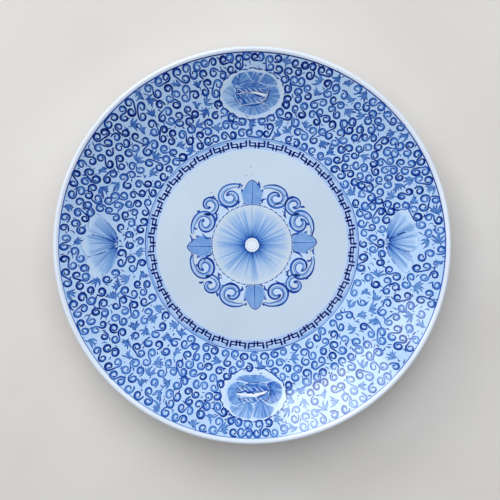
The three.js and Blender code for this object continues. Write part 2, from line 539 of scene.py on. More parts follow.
def ring_quads(index):
    """Upward quads between neighbouring rings of points, which run anticlockwise and outward."""
    after = np.roll(index, -1, axis=1)
    return np.stack([index[:-1], index[1:], after[1:], after[:-1]], -1).reshape(-1, 4)


def segment(start, end, bend, steps):
    """Points from start to end, bowed to the left by bend times the length."""
    start, end = np.asarray(start, float), np.asarray(end, float)
    t = np.linspace(0, 1, steps)[:, None]
    side = np.array([start[1] - end[1], end[0] - start[0]])
    return start + (end - start) * t + 4 * bend * t * (1 - t) * side


def arc(radius, start, end, steps=6):
    return polar(radius, np.linspace(start, end, steps))


RING_PLACES = np.linspace(0, 1, 721)


def full_ring(radius):
    return polar(radius, RING_PLACES * TAU)


def taper(count, start, middle, end, peak=0.5):
    """Widths along a stroke that swell from start to middle and thin out to end."""
    t = np.linspace(0, 1, count)
    return np.interp(t, (0, peak, 1), (start, middle, end))


# ---- Fret border ----

FRET_PERIODS = 35
FRET_PERIOD = TAU / FRET_PERIODS
FRET_PHASE = math.radians(-0.31)
FRET_INNER_LINE = 77.8
FRET_OUTER_LINE = 80.3
FRET_BAR_TOP = 82.3
FRET_BAR_FOOT = 76.0
FRET_BAR_GAP = 2.7
FRET_STROKE = 2.05
FRET_RULE_RADIUS = 84.0
# Each wash's radius and width, and its share of the ink from its outer edge to its inner one.
FRET_WASHES = (
    (82.6, 3.6, (0, 1, 1.4, 1.3, 0.8, 0.3)),
    (79.0, 8.6, (0, 0.5, 0.8, 0.8, 0.9, 1.0)),
)


def paint_fret():
    """The key fret: pairs of bars that point outward and pairs that point inward, by turns, with two
    lines that link them."""
    wash = Painting(lift=0.03)
    halo = 0.17 + 0.05 * wander(RING_PLACES, 60)
    for radius, width, across in FRET_WASHES:
        wash.stroke(full_ring(radius), width, np.outer(halo, across))
    wash.make("fret_wash", fret_glaze, "cobalt_line_glaze")

    lines = Painting(lift=0.06)
    half_gap = FRET_BAR_GAP / 2 / FRET_OUTER_LINE
    for n in range(FRET_PERIODS):
        out = FRET_PHASE + TAU * n / FRET_PERIODS
        into = out + FRET_PERIOD / 2
        links = ((out + half_gap, into - half_gap), (into + half_gap, out - half_gap + FRET_PERIOD))
        for middle, low, high in ((out, FRET_INNER_LINE - 0.4, FRET_BAR_TOP),
                                  (into, FRET_BAR_FOOT, FRET_OUTER_LINE + 0.4)):
            for side in (-1, 1):
                lean = random.normal(0, 0.0012)
                angle = middle + side * half_gap
                bar = np.stack([polar(low, angle + lean), polar((low + high) / 2, angle),
                                polar(high + random.normal(0, 0.15), angle - lean)])
                lines.stroke(bar, FRET_STROKE * random.uniform(0.85, 1.1), random.uniform(0.98, 1.15))
        for start, end in links:
            lines.stroke(arc(FRET_INNER_LINE, start, end), 1.8, random.uniform(0.95, 1.12))
            lines.stroke(arc(FRET_OUTER_LINE + random.normal(0, 0.1), start, end),
                         random.uniform(1.35, 1.7), random.uniform(0.85, 1.08))
        lines.stroke(arc(FRET_INNER_LINE, into - half_gap, into + half_gap), 1.5,
                     random.uniform(0.9, 1.05))
        lines.stroke(arc(FRET_OUTER_LINE, out - half_gap, out + half_gap), 0.9,
                     random.uniform(0.4, 0.7))
    rule = 0.62 + 0.2 * wander(RING_PLACES, 30)
    lines.stroke(full_ring(FRET_RULE_RADIUS), 0.85 + 0.2 * wander(RING_PLACES, 40), rule)
    lines.make("fret_lines", field_glaze, "cobalt_line_glaze")


# ---- Medallion ----

BOSS_RADIUS = 4.0
BURST_RADIUS = 5.8
DISC_RADIUS = 31.5
DISC_RAYS = 84
DISC_DASHES = 44
LEAF_TIP = 50.8
MEDALLION_GROWTH = 1.015
TINT_RADIUS = 46.5
TINT_FADE = 6.0
TINT_INK = 0.02
MEDALLION_TURN = math.radians(2.3)
LEAF_ANGLES = tuple(math.radians(degrees) for degrees in (2.7, 89.8, 181.8, 273.1))


def turn(points, angle):
    """The points turned anticlockwise about the dish's axis."""
    cosine, sine = math.cos(angle), math.sin(angle)
    return np.asarray(points, float) @ np.array([[cosine, sine], [-sine, cosine]])


def paint_disc(wash, lines):
    """The rayed disc in the middle, deepest round its white boss."""
    streak, broad, reach = wandering(230), wandering(80), wandering(90)

    def rayed(plan, share):
        radius = np.hypot(plan[..., 0], plan[..., 1])
        place = np.arctan2(plan[..., 1], plan[..., 0]) / TAU
        ray = streak(place) + 0.8 * broad(place)
        fall = np.clip((radius - BURST_RADIUS) / DISC_RADIUS / (0.96 + 0.16 * reach(place)), 0, None)
        fade = np.clip(1 - fall * 1.08, 0, 1)
        body = 0.30 * np.exp(-6.0 * fall) + 0.24 * fade ** 0.6
        body = body * (1 + ray * np.clip(0.15 + fall * 0.9, 0, 0.7))
        pale = -0.14 * np.clip((share - 0.84) * 6, 0, 1)
        return np.where(radius < BURST_RADIUS * 0.93, -0.9, body + pale)

    wash.patch((0, 0), arc(DISC_RADIUS, 0, TAU * 287 / 288, 288), rayed, rings=44)
    places = np.linspace(0, 1, 181)
    edge = BURST_RADIUS + 0.25 * wander(places, 22)
    lines.stroke(polar(edge, places * TAU), 0.75 + 0.35 * wander(places, 26),
                 0.62 + 0.22 * wander(places, 22))
    lines.stroke(arc(BOSS_RADIUS, 0, TAU, 91), 0.5, 0.16)
    for angle in LEAF_ANGLES:
        lines.stroke(polar(np.linspace(BURST_RADIUS, DISC_RADIUS, 12), angle),
                     (1.3, 0.5, 0.3, 0.3), (0.75, 0.42, 0.3, 0.25))
    for i in range(DISC_RAYS):
        angle = TAU * i / DISC_RAYS + random.normal(0, 0.02)
        tip = BURST_RADIUS + random.uniform(6, 23)
        lines.stroke(polar(np.linspace(BURST_RADIUS, tip, 7), angle),
                     (0.9, 0.5, 0.2, 0.3), (0.7, 0.42, 0.22, 0.35))
    bow = DISC_RADIUS + np.array([-0.25, 0.1, 0.3, 0.15, -0.15])
    for i in range(DISC_DASHES):
        start = TAU * i / DISC_DASHES
        end = start + TAU / DISC_DASHES * random.uniform(0.78, 0.96)
        lines.stroke(polar(bow, np.linspace(start, end, 5)),
                     [0.45, 0.6, 0.65, 1.05, 0.7], [0.6, 0.7, 0.85, 1.0, 0.9])


def leaf_outline():
    """A pointed, three-lobed leaf as (across, along from the medallion's centre)."""
    right = curve([(5.4, DISC_RADIUS + 0.2), (6.8, 35), (8.1, 39.6), (8.7, 43.6)], 6)
    lobe = curve([(8.7, 43.6), (6.4, 43.4), (5.2, 46.0), (3.2, 48.8), (0, LEAF_TIP)], 6)
    half = np.vstack([right, lobe[1:]])
    return np.vstack([half, (half * (-1, 1))[::-1][1:]])


def paint_leaf(wash, lines, angle):
    """A leaf that stands on the disc's edge at the given angle, with its rib, veins and hooks."""
    lean = angle - TAU / 4
    outline = turn(leaf_outline(), lean)
    middle = polar(40.0, angle)
    tone = wandering(9)

    def shaded(plan, share):
        place = np.arctan2(plan[..., 1] - middle[1], plan[..., 0] - middle[0]) / TAU
        return 0.27 + 0.05 * tone(place) + 0.1 * share ** 3

    wash.patch(middle, outline, shaded, rings=10)
    lines.stroke([*outline, outline[0]], 0.62,
                 0.55 + 0.15 * wander(np.linspace(0, 1, len(outline) + 1), 12))
    rib = polar(np.linspace(DISC_RADIUS, LEAF_TIP, 10), angle + np.linspace(0.004, -0.008, 10))
    lines.stroke(rib, (0.7, 0.75, 0.35), (0.9, 0.75, 0.7))
    for side in (-1, 1):
        corner = turn([(side * 5.2, DISC_RADIUS + 0.5), (side * 7.2, DISC_RADIUS + 1.6)], lean)
        lines.flick(*corner, 0, 5, (0.6, 1.5, 0.5), 0.9)
        shoulder = turn([(side * 7.6, 41.2), (side * 8.9, 44.0)], lean)
        lines.flick(*shoulder, 0.1 * side, 5, (0.4, 1.1, 0.4), 0.8)
        tip = turn([(side * 5.3, 45.8), (0, LEAF_TIP + 0.2)], lean)
        lines.flick(*tip, -0.12 * side, 7, (0.3, 0.7, 1.0), 0.75)
        for vein in range(5):
            foot = 33.5 + 2.4 * vein
            reach = 6.2 - 1.3 * max(0, vein - 1)
            hair = turn([(side * 0.8, foot), (side * reach, foot + 4.2)], lean)
            lines.flick(*hair, 0.06, 6, 0.28, (0.42, 0.5, 0.38))


# Each scroll's radius at the angles it has turned through, in degrees, and where it starts: its
# centre, the angle of its first point from there, and 1 for anticlockwise or -1 for clockwise.
LARGE_SCROLL = (
    (0, 12.6), (52, 8.1), (142, 7.0), (215, 6.0), (300, 5.4), (375, 3.6), (440, 2.6), (485, 2.0),
)
SMALL_SCROLL = (
    (0, 8.4), (60, 6.4), (115, 5.4), (170, 4.5), (226, 4.2), (294, 4.1), (350, 3.2), (403, 1.6),
)
LARGE_SCROLL_WIDTH = 4.2
SMALL_SCROLL_WIDTH = 3.1
LARGE_STARTS = (
    ((18.8, 36.4), 142, -1), ((37.2, 17.5), -43, 1),
    ((-17.2, 37.2), 38, 1), ((-36.6, 17.1), 223, -1),
    ((-37.1, -17.1), 137, 1), ((-16.4, -37.8), 322, -1),
    ((19.3, -37.6), 218, 1), ((37.8, -17.6), 43, -1),
)
SMALL_STARTS = (
    ((32.3, 31.3), 302, -1), ((-32.6, 31.2), 238, 1),
    ((-31.7, -31.6), 122, -1), ((33.0, -31.1), 58, 1),
)
BAND_ACROSS = (0.56, 0.36, 0.14, 0.06, 0.16, 0.30, 0.46)


def spiral(centre, stations_in_degrees, start, hand):
    """A scroll's line, from its stations of (turned angle, radius). Angles are in degrees."""
    turned_angle, radius = np.array(stations_in_degrees, float).T
    angle = np.linspace(0, turned_angle[-1], 72)
    knots = curve(np.stack([turned_angle, radius], -1), 12)
    reach = np.interp(angle, knots[:, 0], knots[:, 1])
    return np.asarray(centre) + polar(reach, np.radians(start + hand * angle))


def beside(line, shift):
    """The line moved to its left by shift."""
    along = np.gradient(line, axis=0)
    along /= np.hypot(along[:, 0], along[:, 1])[:, None]
    return line + np.stack([-along[:, 1], along[:, 0]], -1) * np.reshape(shift, (-1, 1))


def paint_medallion_scroll(bands, lines, centre, start, hand, stations_in_degrees, width):
    """A broad pale scroll with a bold outer outline, finer inner lines and a dark bead at its end."""
    line = spiral(np.array(centre) * MEDALLION_GROWTH, stations_in_degrees, start, hand)
    count = len(line)
    t = np.linspace(0, 1, count)
    places = t * 0.9
    widths = width * np.interp(t, (0, 0.1, 0.35, 0.7, 0.9, 1), (0.4, 0.9, 1, 0.85, 0.55, 0.42))
    bands.stroke(line, widths, np.outer(1 + 0.25 * wander(places, 9), BAND_ACROSS[::hand]))
    lines.stroke(beside(line, -hand * widths * 0.46),
                 taper(count, 1.2, 2.3, 1.1) * (1 + 0.35 * wander(places, 14)),
                 0.74 + 0.16 * wander(places, 11))
    lines.stroke(beside(line, hand * widths * 0.46),
                 taper(count, 0.7, 1.4, 0.9) * (1 + 0.3 * wander(places, 13)),
                 0.64 + 0.16 * wander(places, 12))
    middle = beside(line, hand * widths * 0.12)[count // 8:count * 5 // 6]
    lines.stroke(middle, (0.4, 0.8, 0.4), 0.56)
    lines.stroke(line[-count // 6:], (0.6, 1.9, 1.0, 0.7), 0.8)


# Each spur's start, end, bend and width, in the upper right quarter.
SPURS = (
    ((8.0, 44.5), (7.2, 48.2), 0.12, 1.5), ((12.5, 35.6), (8.8, 31.6), -0.35, 1.7),
    ((29.6, 35.4), (28.0, 39.2), 0.1, 1.5), ((38.8, 27.0), (42.3, 27.4), 0.2, 1.5),
    ((27.2, 26.0), (28.0, 19.6), -0.2, 1.5), ((42.4, 14.4), (44.6, 13.0), 0.2, 1.3),
    ((38.2, 10.4), (31.4, 6.6), 0.2, 1.7), ((24.6, 30.8), (17.0, 28.2), -0.16, 1.5),
    ((48.4, 9.6), (47.4, 3.6), -0.2, 1.2), ((26.0, 27.6), (25.2, 23.4), 0.3, 1.0),
)


def paint_spurs(bands):
    """Short dark hooks between the scrolls, the same in each quarter but for the hand's wobble."""
    for across, up in ((-1, 1), (1, 1), (-1, -1), (1, -1)):
        for start, end, bend, width in SPURS:
            wobble = random.normal(0, 0.5, (2, 2))
            line = segment(start, end, bend * 0.9, 9)
            hook = (line + np.linspace(*wobble, 9)) * (across, up) * MEDALLION_GROWTH
            bands.stroke(turn(hook, MEDALLION_TURN), (1.0, width * 1.6, 0.5, 0.6),
                         np.linspace(0.55, 0.9, 9))
            side = line[5]
            twig = segment(side, side + random.normal(0, 0.4, 2) + (-1.3, 1.0), 0.2, 5)
            bands.stroke(turn(twig * (across, up), MEDALLION_TURN), (1.1, 0.9, 0.3), 0.8)


def paint_medallion():
    def faint(plan, share):
        radius = np.hypot(plan[..., 0], plan[..., 1])
        return TINT_INK * np.clip((TINT_RADIUS - radius) / TINT_FADE, 0, 1)

    tint = Painting(lift=0.012)
    tint.patch((0, 0), arc(TINT_RADIUS, 0, TAU * 143 / 144, 144), faint, rings=16)
    tint.make("medallion_tint", medallion_glaze, "blue_wash_glaze")
    wash, bands, lines = Painting(lift=0.03), Painting(lift=0.05), Painting(lift=0.08)
    paint_disc(wash, lines)
    for angle in LEAF_ANGLES:
        paint_leaf(wash, lines, angle)
    for centre, start, hand in LARGE_STARTS:
        paint_medallion_scroll(bands, lines, centre, start, hand, LARGE_SCROLL, LARGE_SCROLL_WIDTH)
    for centre, start, hand in SMALL_STARTS:
        paint_medallion_scroll(bands, lines, centre, start, hand, SMALL_SCROLL, SMALL_SCROLL_WIDTH)
    paint_spurs(bands)
    wash.make("medallion_washes", field_glaze, "blue_wash_glaze")
    bands.make("medallion_scrolls", field_glaze, "blue_wash_glaze")
    lines.make("medallion_lines", field_glaze, "cobalt_line_glaze")


# ---- Lines round the outside, and iron specks ----

# Inner and outer radius of each line round the outside, then x, y and radius of each speck.
OUTSIDE_LINES = ((92.4, 93.5), (95.2, 95.7), (139.0, 139.5), (141.6, 142.8))
SPECKS = (
    (-1.0, 61.5, 0.5), (-4.6, 54.7, 0.4), (0.7, 55.4, 0.3), (-32.0, 41.0, 0.5), (14.4, -11.4, 0.55),
    (75.0, -97.0, 0.5), (16.0, -121.5, 0.55), (49.3, -109.4, 0.4), (117.7, -92.6, 0.5),
)


def paint_outside():
    """Cobalt lines round the outside: two above the foot and two below the rim."""
    for number, (start, end) in enumerate(OUTSIDE_LINES):
        radii = stations(start, end, 3)
        proud = under(radii, thickness(radii) + np.array([-0.02, 0.05, 0.05, -0.02]))
        deep = under(radii, thickness(radii) - 0.1)
        ring = np.vstack([proud, deep[::-1]])
        turned(f"outside_line_{number}", ring, line_glaze)


def paint_specks():
    """Tiny iron spots that fired up through the glaze."""
    nodes = Nodes("iron_speck_material")
    tone = nodes.spread(nodes.noise(2500, 2), 0, 1)
    colour = nodes.mix(tone, srgb(38, 40, 62), srgb(84, 70, 66))
    nodes.set(nodes.shader.inputs["Base Color"], colour)
    nodes.shader.inputs["Roughness"].default_value = 0.25
    specks = Painting(lift=0.09)
    places = np.arange(12) / 12
    for x, y, radius in SPECKS:
        outline = (x, y) + polar(radius * (1 + 0.2 * wander(places, 7)), places * TAU)
        specks.patch((x, y), outline, lambda plan, share: 1 + 0 * share, rings=3)
    specks.make("iron_specks", nodes.material, "cobalt_line_glaze")


# ---- Flowers in the scroll band ----

# A petal is the point where it is deepest, its ink there and at its edge, and its outline. The last
# two petals are the bud. All points are measured from the flower's middle.
PEONY_NORTH = {
    "middle": (0.3, 116.6), "half": (24.7, 18.4),
    "petals": (
        ((-4, -4), 0.5, 0.16, (
         (-15.1, 7.1), (-20.5, 5.3), (-22.9, -0.6), (-20.5, -6.5), (-15.1, -10.1), (-9.5, -8.2),
         (-12.8, -3), (-14, 2))),
        ((10, 0), 0.5, 0.22, (
         (12.2, 7.4), (16.9, 7.1), (20.5, 1.8), (20.8, -3), (16.9, -8.3), (11.5, -9.3), (6.8, -6.5),
         (11.2, -2), (12.4, 3))),
        ((0, -5), 0.5, 0.22, (
         (-11.6, -9), (-4, -7.6), (6.2, -6.5), (12, -9.3), (11, -12.2), (2.1, -15.1), (-4.5, -14.4),
         (-10.4, -11.6))),
        ((-11, 8), 0.5, 0.34, (
         (-10.4, 6.5), (-6.8, 9.3), (0, 10.5), (-1.8, 12.2), (-5.6, 17.4), (-10.4, 16.4), (-14.5, 13.1),
         (-15.6, 8.6))),
        ((0, 11), 0.46, 0.4, (
         (0.9, 10.7), (4.5, 10.9), (8.4, 16.4), (3.3, 17.3), (-0.9, 18), (-4.6, 17.2))),
        ((12, 9), 0.48, 0.34, (
         (5.2, 10.1), (12.2, 7.6), (18.4, 8), (17.5, 11.3), (14, 14.8), (9.3, 16.2))),
        ((-4, 4), 0.5, 0.42, (
         (-11.6, 1.8), (-2.7, 1.9), (2.7, 2.6), (11.6, 1.8), (11.4, 5.9), (6.8, 9.4), (0.3, 9.8),
         (-6.8, 8.9), (-10.4, 5.3))),
        ((-6, -6), 0.62, 0.36, (
         (-13.4, 0.2), (-12.8, -3), (-8.6, -6.5), (-3.3, -7.7), (2.7, -7.4), (8, -5.3), (10.1, -3),
         (6.8, -1.8), (2.1, 0.2), (-3.3, 0.9), (-6.8, 1.2))),
    ),
    "slit": ((-12.6, 0.9), (-6.8, 1.5), (-1, 1.5), (4, 1.2), (10, -0.6)),
    "lip": ((-12.6, 1.4), (-8.6, 1.6), (-5.6, 1.4), (-2, 1.9), (1, 1), (4, -0.6), (7.6, -1.6)),
    "cup": ((11.2, 5.2), (12.6, 1.6), (11.2, -2.6), (8, -5.6), (2.7, -7.7), (-4, -8)),
}
PEONY_SOUTH = {
    "middle": (1, -115.9), "half": (25.2, 18.8),
    "petals": (
        ((0, 9), 0.42, 0.36, (
         (-13, 11.2), (-8.9, 10.2), (-3.7, 8.8), (2.2, 8.8), (12.3, 11), (10.4, 13), (6.7, 15),
         (0, 15.4), (-6.7, 15.1), (-11.2, 13.8))),
        ((-9, 4), 0.42, 0.3, (
         (-12.6, 10), (-17.5, 7.4), (-20.1, 3), (-19.7, -1.9), (-17.1, -6.3), (-12.3, -8.2),
         (-8.2, -7.4), (-9, -3.7), (-13, -0.5), (-12.2, 3), (-8.9, 6.3), (-5.2, 8.2))),
        ((12, 6), 0.66, 0.3, (
         (10.8, 8.9), (10.8, 6.7), (13, 3.7), (13, -0.7), (10.4, -4.5), (11.2, -6.7), (16.7, -6.3),
         (21.2, -3), (22.3, 2.2), (21.2, 7.4), (16.7, 10.2))),
        ((-4, -4), 0.44, 0.2, (
         (-13, -8.6), (-8.2, -7), (-3.7, -5.9), (0.4, -9.8), (-0.6, -13), (-2.2, -17.3), (-7.4, -16.9),
         (-13.8, -14.9), (-17.5, -11.2), (-17.8, -8.4))),
        ((6, -3), 0.5, 0.24, (
         (5.9, -3.9), (1.9, -6.9), (1, -10), (0, -16.2), (5.6, -17.3), (11.2, -16), (14.5, -13),
         (15.4, -9.7), (10.6, -7.4))),
        ((3, 6), 0.56, 0.44, (
         (-11.9, 1.7), (-6.7, 2.2), (3, 1.7), (7.1, 2.4), (12.3, 3.7), (10.4, 7.4), (3, 8.5), (-3.7, 8),
         (-8.2, 6.3), (-11.2, 4.1))),
        ((6, -3), 0.4, 0.28, (
         (-10, -3), (-2, -5.9), (6, -4), (10.8, -2.6), (11.6, 2.6), (9.4, 0), (5.9, -1.7), (1.9, -2.7),
         (-6, -2.7))),
    ),
    "slit": ((-12.4, -0.2), (-7, -0.3), (-1, -0.8), (4, -0.4), (10.6, 2.2)),
    "lip": (
        (-12.6, 1.3), (-9.4, 1.2), (-6, 2.4), (-4.2, 0.9), (-1.4, 1.2), (1, -0.4), (3.6, -1.4),
        (6.6, -0.6)),
    "cup": ((10.8, 6.2), (13, 3.6), (13.2, 0.4), (11.4, -3.6), (7.6, -6)),
}


PETAL_REACH = 17
PETAL_GROWTH = 1.10
UPPER_SHRINK = 0.08


def petal_ink(tone, edge, deep, streak):
    """Ink that fades from tone at the point deep to edge at PETAL_REACH away, in rays from there."""
    def ink(plan, share):
        across, up = plan[..., 0] - deep[0], plan[..., 1] - deep[1]
        away = np.clip(np.hypot(across, up) / PETAL_REACH, 0, 1)
        body = tone + (edge - tone) * away ** 0.7
        return np.clip(body * (1 + 0.5 * streak(np.arctan2(up, across) / TAU)), 0.06, 1)
    return ink


def paint_peony(name, flower):
    """A peony on a pale scalloped ground, which a dashed outline parts from the scrolls."""
    margin, wash, lines = Painting(lift=0.02), Painting(lift=0.04), Painting(lift=0.07)
    middle = np.array(flower["middle"])
    angle = np.arange(180) / 180 * TAU
    scallop = 1 + 0.045 * np.abs(np.sin(angle * 9)) + 0.012 * wander(angle / TAU, 24)
    outline = middle + polar(scallop, angle) * flower["half"]

    def paling(plan, share):
        return 0.1 - 0.5 * np.clip((share - 0.74) * 6, 0, 1)

    margin.patch(middle, outline, paling, rings=16)
    for i in range(40):
        first, last = int(i * 4.5), int(i * 4.5 + random.uniform(3.2, 5.2))
        dash = outline[np.arange(first, last + 1) % 180]
        lines.stroke(dash, (0.7, 1.3, 0.7), random.uniform(0.7, 1.0))
    for number, (deep, tone, edge, points) in enumerate(flower["petals"]):
        petal = middle + curve([*points, points[0]], 6)[:-1]
        petal = petal.mean(0) + (petal - petal.mean(0)) * PETAL_GROWTH
        petal[:, 1] -= UPPER_SHRINK * np.clip(petal[:, 1] - middle[1], 0, None)
        deep = middle + deep
        wash.patch(petal.mean(0), petal, petal_ink(tone, edge, deep, wandering(90)), rings=8)
        rim = [*petal, petal[0]]
        places = np.linspace(0, 1, len(rim))
        bud = number >= len(flower["petals"]) - 2
        width, swell, ink, change = (0.8, 0.3, 0.72, 0.3) if bud else (0.55, 0.25, -0.1, 0.5)
        lines.stroke(rim, width + swell * wander(places, 9), ink + change * wander(places, 7))
        for i in range(16):
            start = petal[random.integers(len(petal))]
            end = start + (deep - start) * random.uniform(0.25, 0.55)
            lines.flick(start, end, 0.04, 6, (0.3, 0.55, 0.2), tone + 0.18 if i % 2 else -0.5 * tone)
    for row in range(2):
        for i in range(11):
            foot = middle + (-9.5 + 2.0 * i + random.normal(0, 0.3), (-5.6, 2.2)[row])
            tip = foot + polar(random.uniform(3.2, 5.2), 2.35 + 0.15 * row)
            lines.flick(foot, tip, 0.05, 6, (0.4, 0.9, 0.35), -0.4 if i % 2 else 0.82)
    slit, lip, cup = [middle + curve(flower[part], 6) for part in ("slit", "lip", "cup")]
    ragged = 1 + 0.35 * wander(np.linspace(0, 0.95, len(slit)), 14)
    lines.stroke(slit, taper(len(slit), 1.2, 2.9, 1.8, 0.65) * ragged, -1.0)
    lines.stroke(lip, 1.3 + 0.5 * wander(np.linspace(0, 0.9, len(lip)), 9), 0.92)
    lines.stroke(cup, (1.0, 1.8, 0.9), (0.8, 1.0, 0.8))
    margin.make(name + "_margin", band_glaze, "cobalt_scroll_glaze")
    wash.make(name + "_petals", band_glaze, "blue_wash_glaze")
    lines.make(name + "_lines", band_glaze, "cobalt_line_glaze")


FAN_REACH = 27.5
FAN_LOBES = (
    ((0.2, 3.4), (1.4, 7.7), (6.2, 14.9), (10.9, 20.0), (14.9, 23.0), (17.8, 22.8), (20.6, 19.6),
     (21.8, 14.0), (20.4, 9.6), (17.6, 7.2), (9.0, 4.4), (2.0, 1.4)),
    ((1.4, 0.6), (9.0, 4.0), (17.6, 6.8), (23.0, 5.6), (26.6, 0.6), (25.5, -5.0), (22.0, -9.6),
     (13.0, -7.0), (3.5, -2.5)),
    ((0.6, -4.0), (3.5, -3.0), (12.0, -7.2), (21.5, -10.2), (23.4, -15.0), (22.0, -21.6), (18.2, -26.0),
     (14.0, -27.0), (10.1, -24.8), (5.4, -19.2), (1.0, -11.3)),
)


def paint_fan(name, apex, outward):
    """Three ribbed lobes that open from an apex. Outward is the (x, y) scale of the lobes' points."""
    wash, lines = Painting(lift=0.035), Painting(lift=0.07)
    apex = np.array(apex)
    streak, broad = wandering(190), wandering(70)

    def ribbed(plan, share):
        across, up = plan[..., 0] - apex[0], plan[..., 1] - apex[1]
        far = np.hypot(across, up)
        away = far / (FAN_REACH + 5 * np.abs(up) / np.maximum(far, 1))
        place = np.arctan2(up, np.abs(across)) / TAU
        ray = streak(place) + 0.8 * broad(place)
        body = (0.52 * np.exp(-2.1 * away) + 0.05) * (1 + 0.55 * ray * np.clip(away * 2, 0.3, 1))
        fade = np.clip((0.88 + 0.04 * broad(place) - away) * 8, 0, 1)
        return np.maximum(body, 0.03) * fade - 0.3 * (1 - fade)

    for lobe in FAN_LOBES:
        points = apex + curve([*lobe, lobe[0]], 6)[:-1] * outward
        wash.patch(points.mean(0), points, ribbed, rings=12)
        for i in range(14):
            tip = points[random.integers(len(points))]
            root = apex + (tip - apex) * 0.12
            tip = apex + (tip - apex) * random.uniform(0.55, 0.8)
            lines.flick(root, tip, 0.03, 9, (0.55, 0.4, 0.15), (0.85, 0.5, 0.25, 0.4))
        away = np.hypot(*(points - apex).T)
        for i in range(0, len(points) - 4, 5):
            dash = points[i:i + random.integers(4, 7)]
            if away[i] < 17:
                lines.stroke(dash, 0.75, random.uniform(0.65, 0.95))
            else:
                lines.stroke(dash, 0.45, random.uniform(0.25, 0.6))
    for lobe in (FAN_LOBES[0], FAN_LOBES[2]):
        start, end = apex + np.array(lobe[:2]) * outward
        lines.flick(start, start + (end - start) * 0.6, 0.05, 6, (1.6, 1.3, 0.5), 0.95)
    for up in (2.2, -3.4):
        near, far = apex + np.array(((2.2, up * 0.6), (7.4, up * 1.35))) * outward
        lines.flick(near, far, 0.05, 7, (0.8, 1.3, 0.3, 0.3), (0.9, 0.95, 0.5))
    lines.stroke(apex - (outward[0], 0) + arc(1.9, 0, TAU, 31), 0.5, 0.35)
    wash.make(name + "_wash", band_glaze, "blue_wash_glaze")
    lines.make(name + "_lines", band_glaze, "cobalt_line_glaze")


def paint_flowers():
    paint_peony("north_peony", PEONY_NORTH)
    paint_peony("south_peony", PEONY_SOUTH)
    paint_fan("west_fan", (-104.6, 1.2), (-1, 1))
    paint_fan("east_fan", (104.6, 2.2), (0.9, -1))


# ---- Scroll band ----

# The scroll band's radii, how many strokes of each kind it has, and how they are spread over it.
BAND_LOW = 84.6
BAND_HIGH = 146.6
RIM_LINE = 147.1
SCROLL_COUNT = 600
SPRAY_COUNT = 104
DASH_COUNT = 260
DASH_TRIALS = 6000
DASH_SPACING = 1.8
SECTORS = 12
PAIR_REACH = 9.2
SINGLE_SHARE = 0.3
S_SHARE = 0.6
REST_GAP = 1.22
RELAX_STEPS = 230
RELAX_PUSH = 0.16
JITTER = 0.45
SCROLL_REACH = 3.45
SPRAY_REACH = 4.1
# The ellipse that the scrolls leave free for each flower, as x, y and its two half widths.
PEONIES = ((0.0, 117.4, 25.0, 18.4), (1.9, -116.6, 25.4, 17.6))
FANS = ((-116.8, 0.6, 12.6, 25.2), (116.4, 3.0, 12.2, 25.0))


def relaxed_sites():
    """Places for scrolls and sprays, pushed apart until they fill the band evenly."""
    reach = np.append(np.full(SCROLL_COUNT, SCROLL_REACH), np.full(SPRAY_COUNT, SPRAY_REACH))
    count = len(reach)
    radius = np.sqrt(random.uniform(BAND_LOW ** 2, BAND_HIGH ** 2, count))
    sites = polar(radius, random.uniform(0, TAU, count))
    rest = (reach[:, None] + reach[None]) * REST_GAP
    np.fill_diagonal(rest, 0)
    for step in range(RELAX_STEPS):
        gap = sites[:, None] - sites[None]
        distance = np.hypot(gap[..., 0], gap[..., 1]) + 1e-6
        overlap = np.clip(rest - distance, 0, None) / distance
        sites = sites + RELAX_PUSH * (gap * overlap[..., None]).sum(1)
        for x, y, half_x, half_y in PEONIES + FANS:
            size = np.stack([half_x + reach * 0.95, half_y + reach * 0.95], -1)
            scaled = (sites - (x, y)) / size
            length = np.hypot(scaled[:, 0], scaled[:, 1])[:, None]
            outside = (x, y) + size * scaled / np.maximum(length, 1e-6)
            if step == 0:
                outside = outside + random.uniform(0.1, 0.9, (count, 1)) * (outside - (x, y))
            sites = np.where(length < 1, outside, sites)
        radius = np.hypot(sites[:, 0], sites[:, 1])
        kept = np.clip(radius, BAND_LOW + reach, BAND_HIGH - reach + 0.5)
        sites *= (kept / radius)[:, None]
    sites += random.normal(0, JITTER, sites.shape)
    return sites[:SCROLL_COUNT], sites[SCROLL_COUNT:]


SCROLL_STEPS = 26
SCROLL_ACROSS = (0.96, 0.94, 0.66, 0.50, 0.62)
WASH_INWARD = 0.74
WASH_STEPS = 9
WASH_INK = 0.34
# How far the painted shade and highlight in the ink reaches, in millimetres.
PAINTED_SHADE_REACH = 800.0


def painted_shade_and_highlight(site):
    """Painted shade and highlight: the ink is darker to the upper left and paler to the lower right."""
    return 1 + (0.85 * site[1] - 0.5 * site[0]) / PAINTED_SHADE_REACH


